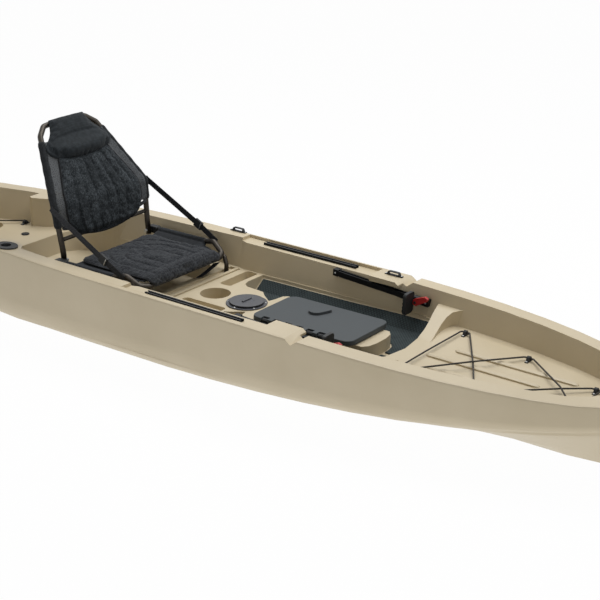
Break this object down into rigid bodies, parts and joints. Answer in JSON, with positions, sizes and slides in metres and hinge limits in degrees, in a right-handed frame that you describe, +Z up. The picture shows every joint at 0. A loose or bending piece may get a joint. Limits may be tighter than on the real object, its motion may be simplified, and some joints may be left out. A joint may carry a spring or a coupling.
{
  "type": "fishing kayak",
  "caption": "Sit-on-top fishing kayak with a raised folding seat, hatch, side trays, cup holder, gear tracks, sliding foot braces, rod holders and bow deck cords.",
  "frame": {"origin": "on the keel under the middle of the hull, at half length", "axes": "+X to the bow, +Y to port, +Z up"},
  "size_m": [3.66, 0.787, 0.7861],
  "materials": {
    "hull_plastic": "fine moulded grain, satin",
    "bin_plastic": "moulded, satin",
    "lid_plastic": "fine textured, matte",
    "seal_rubber": "matte",
    "black_plastic": "moulded, satin",
    "hinge_steel": "bright",
    "mat_foam": "embossed foam, matte",
    "track_aluminium": "black anodised",
    "cord_elastic": "braided",
    "strap_webbing": "woven webbing",
    "frame_aluminium": "brown anodised tube",
    "seat_fabric": "padded woven fabric",
    "back_mesh": "mesh",
    "head_fabric": "padded fabric",
    "lever_plastic": "moulded, glossy"
  },
  "bodies": {
    "hull": {"hull": "hull_plastic", "hatch_bin": "bin_plastic", "hatch_gasket": "seal_rubber", "hatch_hinge_base": "black_plastic", "hatch_hinge_pin": "hinge_steel", "deck_plate_ring": "black_plastic", "bow_bungee": "cord_elastic", "stern_bungee": "cord_elastic", "paddle_keeper_aft": "black_plastic", "paddle_keeper_forward": "black_plastic", "foot_mat_port": "mat_foam", "foot_mat_starboard": "mat_foam", "gear_track_port": "track_aluminium", "gear_track_starboard": "track_aluminium", "foot_rail_port": "track_aluminium", "foot_rail_starboard": "track_aluminium", "rod_holder_port": "black_plastic", "rod_holder_starboard": "black_plastic", "seat_cradle_port": "black_plastic", "seat_cradle_starboard": "black_plastic", "bow_pad_eye_aft_port": "black_plastic", "bow_pad_eye_aft_starboard": "black_plastic", "bow_pad_eye_mid_port": "black_plastic", "bow_pad_eye_mid_starboard": "black_plastic", "bow_pad_eye_fore_port": "black_plastic", "bow_pad_eye_fore_starboard": "black_plastic", "stern_pad_eye_fore_port": "black_plastic", "stern_pad_eye_fore_starboard": "black_plastic", "stern_pad_eye_aft_port": "black_plastic", "stern_pad_eye_aft_starboard": "black_plastic"},
    "seat_base": {"seat_base_frame": "frame_aluminium", "seat_leg_port": "frame_aluminium", "seat_leg_starboard": "frame_aluminium", "seat_rear_crossbar": "frame_aluminium", "seat_pivot_bracket_port": "black_plastic", "seat_pivot_bracket_starboard": "black_plastic", "seat_pivot_bolt_port": "hinge_steel", "seat_pivot_bolt_starboard": "hinge_steel", "seat_pad": "seat_fabric", "strap_buckle_port": "black_plastic", "strap_buckle_starboard": "black_plastic", "seat_strap_port": "strap_webbing", "seat_strap_starboard": "strap_webbing"},
    "seat_back": {"seat_back_frame": "frame_aluminium", "seat_back_crossbar": "frame_aluminium", "back_panel": "back_mesh", "back_pad": "seat_fabric", "headrest_pad": "head_fabric"},
    "hatch_lid": {"hatch_lid": "lid_plastic"},
    "hatch_latch": {"hatch_latch": "black_plastic"},
    "deck_plate_cover": {"deck_plate_cover": "lid_plastic", "deck_plate_oring": "seal_rubber"},
    "foot_pedal_port": {"foot_pedal_port": "black_plastic"},
    "foot_pedal_starboard": {"foot_pedal_starboard": "black_plastic"},
    "pedal_lever_port": {"pedal_lever_port": "lever_plastic"},
    "pedal_lever_starboard": {"pedal_lever_starboard": "lever_plastic"},
    "bow_handle": {"bow_handle": "black_plastic"},
    "stern_handle": {"stern_handle": "black_plastic"},
    "drain_plug": {"drain_plug": "black_plastic"}
  },
  "joints": [
    {"name": "seat_lift", "type": "slide", "parent": "hull", "child": "seat_base", "axis": [0, 0, 1], "range_m": [0, 0.3]},
    {"name": "seat_back_fold", "type": "hinge", "parent": "seat_base", "child": "seat_back", "pos_m": [-0.597, 0, 0.299], "axis": [0, 1, 0], "range_deg": [0, 60], "deforming": ["seat_strap_port", "seat_strap_starboard"]},
    {"name": "hatch_lid_hinge", "type": "hinge", "parent": "hull", "child": "hatch_lid", "pos_m": [0.402, -0.118, 0.226], "axis": [1, 0, 0], "range_deg": [0, 105]},
    {"name": "hatch_latch_turn", "type": "hinge", "parent": "hatch_lid", "child": "hatch_latch", "pos_m": [0.392, 0.034, 0.2373], "axis": [0, 0, 1], "range_deg": [0, 90]},
    {"name": "deck_plate_turn", "type": "hinge", "parent": "hull", "child": "deck_plate_cover", "pos_m": [0.1, 0, 0.2222], "axis": [0, 0, 1], "range_deg": [0, 90]},
    {"name": "foot_pedal_slide_port", "type": "slide", "parent": "hull", "child": "foot_pedal_port", "axis": [0.9971, 0, -0.0762], "range_m": [-0.3, 0.012]},
    {"name": "pedal_lever_press_port", "type": "hinge", "parent": "foot_pedal_port", "child": "pedal_lever_port", "pos_m": [0.6629, 0.27025, 0.26822], "axis": [0, 1, 0], "range_deg": [0, 15], "stiffness_Nm_per_rad": 0.3, "springref_deg": -17.19},
    {"name": "foot_pedal_slide_starboard", "type": "slide", "parent": "hull", "child": "foot_pedal_starboard", "axis": [0.9971, 0, -0.0762], "range_m": [-0.3, 0.012]},
    {"name": "pedal_lever_press_starboard", "type": "hinge", "parent": "foot_pedal_starboard", "child": "pedal_lever_starboard", "pos_m": [0.6629, -0.27025, 0.26822], "axis": [0, 1, 0], "range_deg": [0, 15], "stiffness_Nm_per_rad": 0.3, "springref_deg": -17.19},
    {"name": "bow_handle_swing", "type": "hinge", "parent": "hull", "child": "bow_handle", "pos_m": [1.69, 0, 0.30553], "axis": [0, 1, 0], "range_deg": [0, 110]},
    {"name": "stern_handle_swing", "type": "hinge", "parent": "hull", "child": "stern_handle", "pos_m": [-1.69, 0, 0.3687], "axis": [0, -1, 0], "range_deg": [0, 110]},
    {"name": "drain_plug_lift", "type": "slide", "parent": "hull", "child": "drain_plug", "axis": [0, 0, 1], "range_m": [0, 0.05]}
  ]
}
